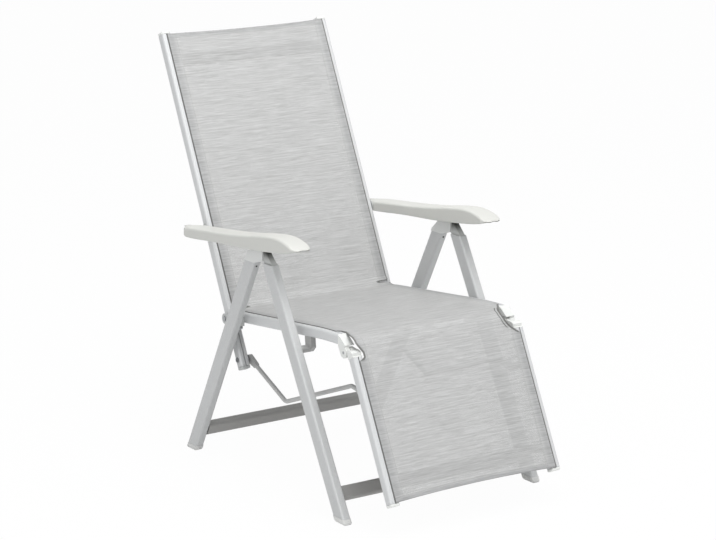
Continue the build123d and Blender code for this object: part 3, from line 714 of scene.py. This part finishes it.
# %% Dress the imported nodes
dressing = (
    (tube_end_plastic_with_painted_shade, "front_leg_head"),
    (head_plastic, "rear_leg_head"),
    (leg_coat, "front_leg rear_leg"),
    (silver_coat, "seat_rail back_rail leg_rest_rail"),
    (
        shaded_coat,
        "front_crossbar rear_crossbar seat_rear_tube "
        "seat_front_tube leg_rest_tube back_top_bar",
    ),
    (painted_steel, "push_rod rod_lugs seat_strap"),
    (black_screw, "leg_screws"),
    (
        zinc_steel,
        "back_pivot_bolts knee_pins seat_pivot_bolts rod_rear_bolts "
        "arm_pivot_bolts seat_rest_studs apex_pins",
    ),
    (white_plastic, "armrest knee_fork knee_tongue back_top_caps leg_rest_end_caps"),
    (
        grey_plastic,
        "front_feet rear_feet back_bottom_caps arm_hub "
        "arm_rack back_hinge_plate seat_saddle",
    ),
    (black_cord, "back_edge_cords seat_edge_cords leg_rest_edge_cords"),
)
finish_of = {start: finish for finish, starts in dressing for start in starts.split()}
for node_name, piece in nodes.items():
    matches = [start for start in finish_of if node_name.startswith(start)]
    if matches:
        piece.data.materials.clear()
        piece.data.materials.append(finish_of[max(matches, key=len)])
print("finished nodes:", sum(bool(p.data.materials) for p in nodes.values()))

# %% [markdown]
# ## Armrests
#
# Each armrest is one moulding: a crowned top with soft edges, a nose that
# droops forward, a skirt that is deepest above the legs, and an open
# underside. It is made as a closed cross-section carried along the chair. The
# section's height follows two side-view curves, and its width shrinks at both
# ends along a rounded plan. A box with bevels would miss the sweep of the
# nose, which is the first thing one notices.

# %% Side-view curves of the armrest
def smooth_curve(points, count):
    """Natural cubic curve through side-view points, sampled evenly in
    chord length: the second derivatives solve one tridiagonal system."""
    points = np.asarray(points, float)
    chord = np.r_[0.0, np.cumsum(np.hypot(*np.diff(points, axis=0).T))]
    gap = np.diff(chord)
    size = len(points)
    system = np.eye(size)
    inner = np.arange(1, size - 1)
    system[inner, inner - 1] = gap[:-1]
    system[inner, inner] = 2 * (gap[:-1] + gap[1:])
    system[inner, inner + 1] = gap[1:]
    slope = np.diff(points, axis=0) / gap[:, None]
    right = np.zeros_like(points)
    right[1:-1] = 6 * np.diff(slope, axis=0)
    second = np.linalg.solve(system, right)
    at = np.linspace(0.0, chord[-1], count)
    part = np.clip(np.searchsorted(chord, at, side="right") - 1, 0, size - 2)
    before = (chord[part + 1] - at)[:, None]
    after = (at - chord[part])[:, None]
    step = gap[part][:, None]
    return (
        second[part] * before**3 / (6 * step)
        + second[part + 1] * after**3 / (6 * step)
        + (points[part] / step - second[part] * step / 6) * before
        + (points[part + 1] / step - second[part + 1] * step / 6) * after
    )


arm_low, arm_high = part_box("armrest_left")
arm_front = arm_low.y
arm_length = arm_high.y - arm_low.y
arm_foot = arm_low.z
arm_height = arm_high.z - arm_low.z
arm_wall = 0.0035
arm_edge = 0.0060
arm_nose_radius = 0.020
arm_tail_radius = 0.042
arm_tail = 0.009
arm_crown = 0.0018

# Points of the side view as shares of the CAD armrest's length and height,
# counted from its front end and its lowest point.
arm_top_shares = [
    (1.020, 0.250), (0.920, 0.335), (0.812, 0.418), (0.636, 0.547), (0.382, 0.788),
    (0.218, 0.965), (0.142, 1.000), (0.069, 0.941), (0.007, 0.788), (-0.035, 0.665),
]
arm_under_shares = [
    (1.000, 0.110), (0.976, 0.000), (0.732, 0.124), (0.418, 0.306), (0.145, 0.524),
    (0.033, 0.665), (0.000, 0.735),
]


def arm_height_at(y, shares):
    """Height of one of the armrest's side-view curves above each y."""
    curve = smooth_curve(shares, 400)
    order = np.argsort(curve[:, 0])
    share = np.interp((y - arm_front) / arm_length, curve[order, 0], curve[order, 1])
    return arm_foot + share * arm_height


print("armrest in mm:", round(arm_length * 1000), "by", round(arm_height * 1000))

# %% [markdown]
# ### Cross-sections of the armrest
#
# Each cross-section is one closed loop: up the outside of one skirt, over the
# crowned top, down the other skirt and back along the inside. The loops lie
# closer together in the rounded ends, where the outline turns quickly.

# %% Cross-sections along the armrest
arm_first_turn = 0.12
arm_least_depth = 0.0042
outer_corner_share = 0.55
inner_corner_share = 0.6
inside_least_share = 0.3
ceiling_clearance = 0.0002


def armrest_plan():
    """Places along the armrest, and its half width at each. The ends are
    quarter circles in plan: at a distance d from an end, the half width is
    smaller by r - sqrt(r^2 - (r - d)^2)."""
    full_length = arm_length + arm_tail
    nose_turn = np.linspace(arm_first_turn, np.pi / 2, 12)
    tail_turn = np.linspace(np.pi / 2, arm_first_turn, 14)
    along = np.r_[
        arm_nose_radius * (1 - np.cos(nose_turn)),
        np.linspace(arm_nose_radius, full_length - arm_tail_radius, 90)[1:-1],
        full_length - arm_tail_radius * (1 - np.cos(tail_turn)),
    ]
    radius = np.where(along < arm_length / 2, arm_nose_radius, arm_tail_radius)
    from_end = np.minimum(along, full_length - along)
    reach = np.clip(radius - from_end, 0.0, radius)
    half_width = (arm_high.x - arm_low.x) / 2 - (
        radius - np.sqrt(np.maximum(radius**2 - reach**2, 0.0))
    )
    return arm_front + along, half_width


def outer_section(half, top, skirt_low, corner):
    """Up one skirt, over the top and down the other skirt. A corner is a
    quarter circle, and the top rises by a cosine crown."""
    turn = np.linspace(0, np.pi / 2, 7)[None, :]
    arc_x = half - corner * (1 - np.sin(turn))
    arc_z = top - corner * (1 - np.cos(turn))
    flat = np.linspace(-1, 1, 13)[None, 1:-1]
    flat_x = flat * (half - corner)
    flat_z = top + arm_crown * np.cos(flat * np.pi / 2) - arm_crown
    skirt = np.linspace(0, 1, 6)[None, :-1]
    skirt_z = skirt_low + skirt * (np.maximum(arc_z[:, -1:], skirt_low) - skirt_low)
    skirt_x = half + 0 * skirt_z
    arc_z = arc_z - arm_crown
    x = np.c_[-skirt_x, -arc_x[:, ::-1], flat_x, arc_x, skirt_x]
    z = np.c_[skirt_z, arc_z[:, ::-1], flat_z, arc_z, skirt_z[:, ::-1]]
    return x, z


def inner_section(half, top, skirt_low, corner):
    """Round the lip of one skirt, up inside it, under the ceiling, down inside
    the other skirt and round its lip. A lip is a half circle."""
    inside_half = np.maximum(half - arm_wall, half * inside_least_share)
    lip = np.linspace(0, np.pi, 7)[None, 1:-1]
    lip_x = half - arm_wall / 2 + arm_wall / 2 * np.cos(lip)
    lip_z = skirt_low - arm_wall / 2 * np.sin(lip)
    ceiling = np.maximum(top - arm_wall - arm_crown, skirt_low + ceiling_clearance)
    corner = np.minimum(corner * inner_corner_share, ceiling - skirt_low)
    wall_x = np.c_[inside_half, inside_half, inside_half - corner]
    wall_z = np.c_[skirt_low, ceiling - corner, ceiling]
    x = np.c_[lip_x, wall_x, 0 * half, -wall_x[:, ::-1], -lip_x[:, ::-1]]
    z = np.c_[lip_z, wall_z, ceiling, wall_z[:, ::-1], lip_z[:, ::-1]]
    return x, z


def armrest(name, sign):
    """Mesh of one armrest: the left one with sign 1, the right one with -1."""
    y, half_width = armrest_plan()
    half = half_width[:, None]
    top = arm_height_at(y, arm_top_shares)[:, None]
    under = np.minimum(
        arm_height_at(y, arm_under_shares)[:, None], top - arm_least_depth
    )
    corner = np.minimum(arm_edge, (top - under) * outer_corner_share)
    skirt_low = under + arm_wall / 2
    outer_x, outer_z = outer_section(half, top, skirt_low, corner)
    inner_x, inner_z = inner_section(half, top, skirt_low, corner)
    x = sign * (arm_low.x + arm_high.x) / 2 + np.c_[outer_x, inner_x]
    loops = np.stack([x, y[:, None] + 0 * x, np.c_[outer_z, inner_z]], axis=-1)
    piece = mesh_object(name, *capped_loops(loops), armrest_plastic)
    clean_normals(piece)
    return piece


for side, sign in (("left", 1), ("right", -1)):
    moulding = armrest("armrest_moulding_" + side, sign)
    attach(moulding, "arm_" + side)
    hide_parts("armrest_" + side)
    print(moulding.name, len(moulding.data.polygons), "faces")

# %% [markdown]
# ## Foot plugs
#
# Each leg ends in a light plug with a collar a millimetre proud of the tube
# and a rounded rim, so that it doesn't scratch a terrace. A plain cut end
# would show a sharp corner where the picture shows a soft one.

# %% Foot plugs
plug_height = 0.0150
plug_rim = 0.0065
plug_half_width = 0.0135
plug_half_depth = 0.0225
plug_corner = 0.0070
leg_x = 0.3038
front_foot_y = -0.406927
rear_foot_y = 0.351600
front_leg_lean = 29.2
rear_leg_lean = -28.3


def plug_shell(centre_x, foot_y, lean):
    """Loops of a rounded rectangle from the floor up. The rim is a quarter
    circle: at height z the loop is smaller by r - sqrt(r^2 - (r - z)^2). The
    leg's lean shifts each loop by z * tan(lean) and stretches its depth by
    1 / cos(lean)."""
    rise = np.linspace(0.0, np.pi / 2, 9)
    height = np.r_[plug_rim * (1 - np.cos(rise)), plug_height][:, None]
    inset = np.r_[plug_rim * (1 - np.sin(rise)), 0.0][:, None]
    quarter = np.linspace(0.0, np.pi / 2, 8)
    angle = (quarter[None, :] + np.arange(4)[:, None] * np.pi / 2).ravel()
    sign_x = np.repeat([1, -1, -1, 1], len(quarter))
    sign_y = np.repeat([1, 1, -1, -1], len(quarter))
    corner = plug_corner - inset
    x = sign_x * (plug_half_width - plug_corner) + corner * np.cos(angle)
    depth = sign_y * (plug_half_depth - plug_corner) + corner * np.sin(angle)
    y = foot_y + height * math.tan(lean) + depth / math.cos(lean)
    return capped_loops(np.stack([centre_x + x, y, height + 0 * x], axis=-1))


for side, foot_y, lean, body in (
    ("front", front_foot_y, front_leg_lean, "front_frame"),
    ("rear", rear_foot_y, rear_leg_lean, "rear_frame"),
):
    right_points, right_faces = plug_shell(-leg_x, foot_y, math.radians(lean))
    left_points, left_faces = plug_shell(leg_x, foot_y, math.radians(lean))
    plugs = mesh_object(
        side + "_foot_plugs",
        np.r_[right_points, left_points],
        np.r_[right_faces, left_faces + len(right_points)],
        foot_plastic,
    )
    clean_normals(plugs)
    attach(plugs, body)
    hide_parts(side + "_feet")
    print(plugs.name, len(plugs.data.polygons), "faces")

# %% [markdown]
# ## The sling
#
# The cloth is one stretched sheet of vinyl-coated polyester mesh. Cords in
# its side hems hold it in the grooves of the rails, so it is flat across and
# follows the rails along. Between the grooves of two rail pairs its edge is
# free: a notch behind the seat and a crescent round the white knee fittings.
# A cloth simulation would only find this taut shape again, so the sheet is
# worked out directly: a path in side view, swept across the chair, with a
# width that changes along it. It is cut in two at the middle of the seat,
# where nothing moves.

# %% Path of the cloth in side view
cloth_offset = 0.0148
cloth_thickness = 0.0003
back_length = 0.812
back_lean = 25.2
leg_rest_length = 0.404
leg_rest_lean = 26.1
seat_slope = math.radians(6.18)
seat_curve_angle = math.radians(4.75)
seat_radius = 1.5


def side_point(y, z):
    """Side-view point in millimetres from the front feet, as y and z here."""
    return np.array([front_foot_y + y / 1000, z / 1000])


def lean_directions(angle):
    """Down the slope of a panel that leans back, and out of its face."""
    turn = math.radians(angle)
    down = np.array([-math.sin(turn), -math.cos(turn)])
    outward = np.array([-math.cos(turn), math.sin(turn)])
    return down, outward


back_pivot = side_point(621.0, 402.0)
knee_pivot = side_point(50.0, 437.0)
rail_start = side_point(583.4929, 415.6814)
rail_bend = side_point(198.7417, 457.3429)
back_down, back_out = lean_directions(back_lean)
rest_down, rest_out = lean_directions(leg_rest_lean)
seat_forward = np.array([-math.cos(seat_slope), math.sin(seat_slope)])
seat_up = np.array([math.sin(seat_slope), math.cos(seat_slope)])

back_foot = back_pivot + cloth_offset * back_out
back_top = back_pivot - back_length * back_down + cloth_offset * back_out
seat_rear = rail_start + cloth_offset * seat_up
seat_bend = rail_bend + cloth_offset * seat_up
bend_centre = rail_bend - seat_radius * seat_up
print("top of the cloth at", back_top.round(3))

# %% [markdown]
# ### Bends of the path
#
# The straight stretches are joined by three bends. At the crease the cloth
# hangs free between the rails, so it is a smooth parabola there. Along the
# seat it follows the rails' slight curve, and at the knee it runs over the
# round fittings. The whole path is a close row of points, and every row of
# the sheet finds its place by its run: the way along the cloth from the top.

# %% Bends of the path
crease_reach = 0.034
knee_radius = 0.0426
knee_start = math.radians(-1.43)
split_behind_bend = 0.14


def meeting_point(p, along_p, q, along_q):
    """Where two side-view lines meet: solve p + a * along_p = q + b * along_q."""
    steps = np.linalg.solve(np.c_[along_p, -along_q], q - p)
    return p + steps[0] * along_p


crease = meeting_point(back_foot, back_down, seat_rear, seat_forward)
arc = np.linspace(0.0, 1.0, 40)[:, None]
crease_in = crease - crease_reach * back_down
crease_out = crease + crease_reach * seat_forward
crease_curve = (1 - arc) ** 2 * crease_in + 2 * arc * (1 - arc) * crease + arc**2 * crease_out
bend_turn = seat_slope - np.linspace(0.0, 1.0, 30)[:, None] * seat_curve_angle
bend_curve = bend_centre + (seat_radius + cloth_offset) * np.c_[
    np.sin(bend_turn), np.cos(bend_turn)
]
knee_turn = np.linspace(knee_start, math.radians(90 - leg_rest_lean), 40)[:, None]
knee_curve = knee_pivot + knee_radius * np.c_[-np.sin(knee_turn), np.cos(knee_turn)]
rest_bottom = knee_pivot + knee_radius * rest_out + leg_rest_length * rest_down

corners = np.r_[back_top[None], crease_curve, bend_curve, knee_curve, rest_bottom[None]]
corner_run = np.r_[0.0, np.cumsum(np.hypot(*np.diff(corners, axis=0).T))]


def path_at(run):
    """Side-view point of the cloth after a run from the top edge."""
    return np.c_[
        np.interp(run, corner_run, corners[:, 0]), np.interp(run, corner_run, corners[:, 1])
    ]


def run_of(point):
    """Run from the top edge to the path's nearest corner point."""
    return corner_run[np.argmin(np.hypot(*(corners - point).T))]


crease_run = run_of(crease_curve[len(crease_curve) // 2])
knee_run = run_of(knee_curve[1])
total_run = corner_run[-1]
split_run = run_of(seat_bend) - split_behind_bend
print("cloth length in mm:", round(total_run * 1000), "crease at", round(crease_run * 1000))

# %% [markdown]
# ### Width of the cloth
#
# Held in the grooves, the cloth is as wide as the rails are apart. Its edge
# leaves the groove in a notch at the crease and in a crescent at the knee. In
# the picture the crescent on the sitter's left is much deeper than the one on
# the right, so each side has a table of its own: the run from the knee or the
# crease, and how deep the edge lies there.

# %% Width of the cloth
slot_x = 0.2565
cut_right = np.array(
    [
        (-0.0600, 0.0), (-0.0560, 0.0030), (-0.0450, 0.0100), (-0.0340, 0.0140), (-0.0150, 0.0080),
        (0.0020, 0.0035), (0.0350, 0.0025), (0.0440, 0.0060), (0.0530, 0.0110), (0.0620, 0.0165),
        (0.0730, 0.0165), (0.0790, 0.0080), (0.0820, 0.0),
    ]
)
cut_left = np.array(
    [
        (-0.0430, 0.0), (-0.0380, 0.0050), (-0.0310, 0.0110), (-0.0160, 0.0210), (0.0000, 0.0340),
        (0.0110, 0.0410), (0.0270, 0.0430), (0.0440, 0.0390), (0.0560, 0.0320), (0.0650, 0.0240),
        (0.0740, 0.0130), (0.0800, 0.0050), (0.0840, 0.0),
    ]
)
notch_right = np.array(
    [(0.0060, 0.0), (0.0100, 0.0260), (0.0120, 0.0420), (0.0140, 0.0300), (0.0180, 0.0)]
)
notch_left = np.array(
    [(-0.0080, 0.0), (-0.0040, 0.0240), (-0.0020, 0.0380), (0.0, 0.0260), (0.0040, 0.0)]
)


def free_depth(run, cut, notch):
    """How far the cloth's edge lies inside the groove's line, from tables of
    run and depth round the knee and round the crease."""
    return np.interp(run - knee_run, *cut.T) + np.interp(run - crease_run, *notch.T)


print("deepest at the knee in mm:", cut_right[:, 1].max() * 1000, cut_left[:, 1].max() * 1000)

# %% [markdown]
# ### The sheet as a grid
#
# One formula places every point. The last four columns on each side turn down
# into the groove, or fold under where the edge is free. The doubled hems
# stand a little higher, both end edges curve inwards between the rails, and
# the crease has slight waves. Each point carries the distances that the cloth
# material reads.

# %% The sheet as a grid
row_step = 0.008
fine_row_step = 0.0018
crease_row_step = 0.0022
meeting_row_step = 0.0004
end_zone = 0.020
crease_zone = 0.05
plain_half = 0.195
fine_half = 0.1965
free_at = 0.003
groove_fall = np.array([[0.0008, 0.0020, 0.0036, 0.0056]])
fold_fall = np.array([[0.0004, 0.0008, 0.0011, 0.0013]])
fold_inward = np.array([[0.0, 0.0004, 0.0012, 0.0030]])
turned = groove_fall.size
hem_rise = 0.0004
hem_slope = 0.0012
top_bow = 0.0045
bottom_bow = 0.0065
bow_run = 0.25
wave_height = 0.0007
wave_number = 61.0
wave_shift = 1.3
wave_run = 0.03
deep_from = 0.022
deep_fade = 0.004
knee_zone = 0.1


def sheet_rows(run_from, run_to):
    """Runs of the grid's rows. They are closer at the cloth's ends, the crease
    and the knee. They are closest where the two sheets meet, because smooth
    shading tilts the last row of a sheet."""
    close = np.r_[
        np.arange(0.0, end_zone, fine_row_step),
        crease_run + np.arange(-crease_zone, crease_zone, crease_row_step),
        split_run + np.arange(-0.0012, 0.0014, meeting_row_step),
        knee_run + np.arange(-0.060, 0.100, fine_row_step),
        total_run - np.arange(0.0, end_zone, fine_row_step),
    ]
    plain = np.arange(run_from, run_to, row_step)
    run = np.unique(np.round(np.r_[plain, close, run_to], 5))
    run = run[(run >= run_from - 1e-6) & (run <= run_to + 1e-6)]
    run[0], run[-1] = run_from, run_to
    return run


def distance_to_edge(run, x, side):
    """Shortest way from each point to the cloth's edge on its own side: the
    least sqrt(dx^2 + drun^2) over close points of that edge."""
    edge_run = np.linspace(run[0], run[-1], 1500)
    distance = np.empty_like(x)
    for on_side, cut, notch in (
        (side < 0, cut_right, notch_right),
        (side >= 0, cut_left, notch_left),
    ):
        edge_x = slot_x - free_depth(edge_run, cut, notch)
        from_edge = np.abs(x[:, on_side])[:, :, None] - edge_x
        run_gap = run[:, None, None] - edge_run
        distance[:, on_side] = np.sqrt((from_edge**2 + run_gap**2).min(axis=-1))
    return distance


def cloth_sheet(name, run_from, run_to):
    """Grid over the run along the chair and the place across it: a point is
    path + out * (lift + wave) + forward * bow, with bow = b * (1 - (x / w)^2)
    fading from each end, wave = h * sin(k * x + s) * exp(-(from crease / r)^2)."""
    run = sheet_rows(run_from, run_to)
    inner = np.r_[np.linspace(0, plain_half, 32), np.linspace(fine_half, slot_x, 36)] / slot_x
    across = np.r_[-inner[:0:-1], inner]
    side = np.r_[np.full(turned, -1.0), across, np.full(turned, 1.0)]
    depth = np.where(
        side < 0,
        free_depth(run, cut_right, notch_right)[:, None],
        free_depth(run, cut_left, notch_left)[:, None],
    )
    half = slot_x - depth
    free = np.clip(depth / free_at, 0, 1)
    held_right, held_left = 1.0 - free[:, :1], 1.0 - free[:, -1:]
    drop_right = held_right * groove_fall + (1 - held_right) * fold_fall
    drop_left = held_left * groove_fall + (1 - held_left) * fold_fall
    edge_right = half[:, :1] - (1 - held_right) * fold_inward
    edge_left = half[:, -1:] - (1 - held_left) * fold_inward
    x = across * half[:, turned:-turned]
    lift = np.c_[-drop_right[:, ::-1], 0 * x, -drop_left]
    x = np.c_[-edge_right[:, ::-1], x, edge_left]
    from_end = np.minimum(run, total_run - run)[:, None]
    doubled_side = np.clip((side_hem - (half - np.abs(x))) / hem_slope, 0, 1)
    doubled_end = np.clip((end_hem - from_end) / hem_slope, 0, 1)
    lift = lift + hem_rise * np.maximum(doubled_side, doubled_end)
    bow_share = 1 - (x / slot_x) ** 2
    bow = top_bow * bow_share * np.clip(1 - run / bow_run, 0, 1)[:, None]
    bow -= bottom_bow * bow_share * np.clip(1 - (total_run - run) / bow_run, 0, 1)[:, None]
    wave_share = np.exp(-(((run - crease_run) / wave_run) ** 2))[:, None]
    wave = wave_height * np.sin(x * wave_number + wave_shift) * wave_share

    place = path_at(run)
    forward = np.gradient(place, run, axis=0)
    forward /= np.hypot(*forward.T)[:, None]
    out = np.c_[forward[:, 1], -forward[:, 0]]
    y = place[:, :1] + out[:, :1] * (lift + wave) + forward[:, :1] * bow
    z = place[:, 1:] + out[:, 1:] * (lift + wave) + forward[:, 1:] * bow
    rows, columns = x.shape
    faces = grid_faces(rows, columns)[:, ::-1]
    piece = mesh_object(name, np.stack([x, y, z], axis=-1), faces, sling_mesh)

    flat_x = x.copy()
    flat_x[:, :turned] -= groove_fall[:, ::-1] * held_right
    flat_x[:, -turned:] += groove_fall * held_left
    flat = np.stack([flat_x, run[:, None] + 0 * x], axis=-1).reshape(-1, 2)
    corner_index = np.empty(len(piece.data.loops), int)
    piece.data.loops.foreach_get("vertex_index", corner_index)
    layer = piece.data.uv_layers.new(name="cloth")
    layer.data.foreach_set("uv", flat[corner_index].astype(np.float32).ravel())

    at_knee = (np.abs(run - knee_run) < knee_zone)[:, None]
    carried = {
        "side_distance": slot_x - np.abs(x),
        "end_distance": from_end + 0 * x,
        "edge_distance": distance_to_edge(run, x, side),
        "free_edge": free,
        "deep_edge": np.clip((depth - deep_from) / deep_fade, 0, 1) * at_knee,
    }
    for attribute_name, values in carried.items():
        attribute = piece.data.attributes.new(attribute_name, "FLOAT", "POINT")
        attribute.data.foreach_set("value", values.astype(np.float32).ravel())
    thicken = piece.modifiers.new("cloth_thickness", "SOLIDIFY")
    thicken.thickness = cloth_thickness
    thicken.offset = 0.0
    print(name, "grid", rows, "by", columns, "run", round((run_to - run_from) * 1000))
    return piece


# %% [markdown]
# ### Two halves of the cloth
#
# When the back reclines, the cloth opens at the crease, and the leg rest
# bends it at the knee. Here the two halves are made in the rest pose and
# stay fixed in place, and the imported sling pieces are hidden.

# %% Two halves of the cloth
upper = cloth_sheet("sling_back_and_seat", 0.0, split_run)
lower = cloth_sheet("sling_seat_and_leg_rest", split_run, total_run)
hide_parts("sling_back", "sling_seat")
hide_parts("sling_leg_rest")


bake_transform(upper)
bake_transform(lower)

# %% [markdown]
# ## Finish
#
# The picture is written with plain sRGB tones, so that a colour comes out
# about as its hex value says.

# %% Finish
bpy.context.scene.view_settings.view_transform = "Standard"
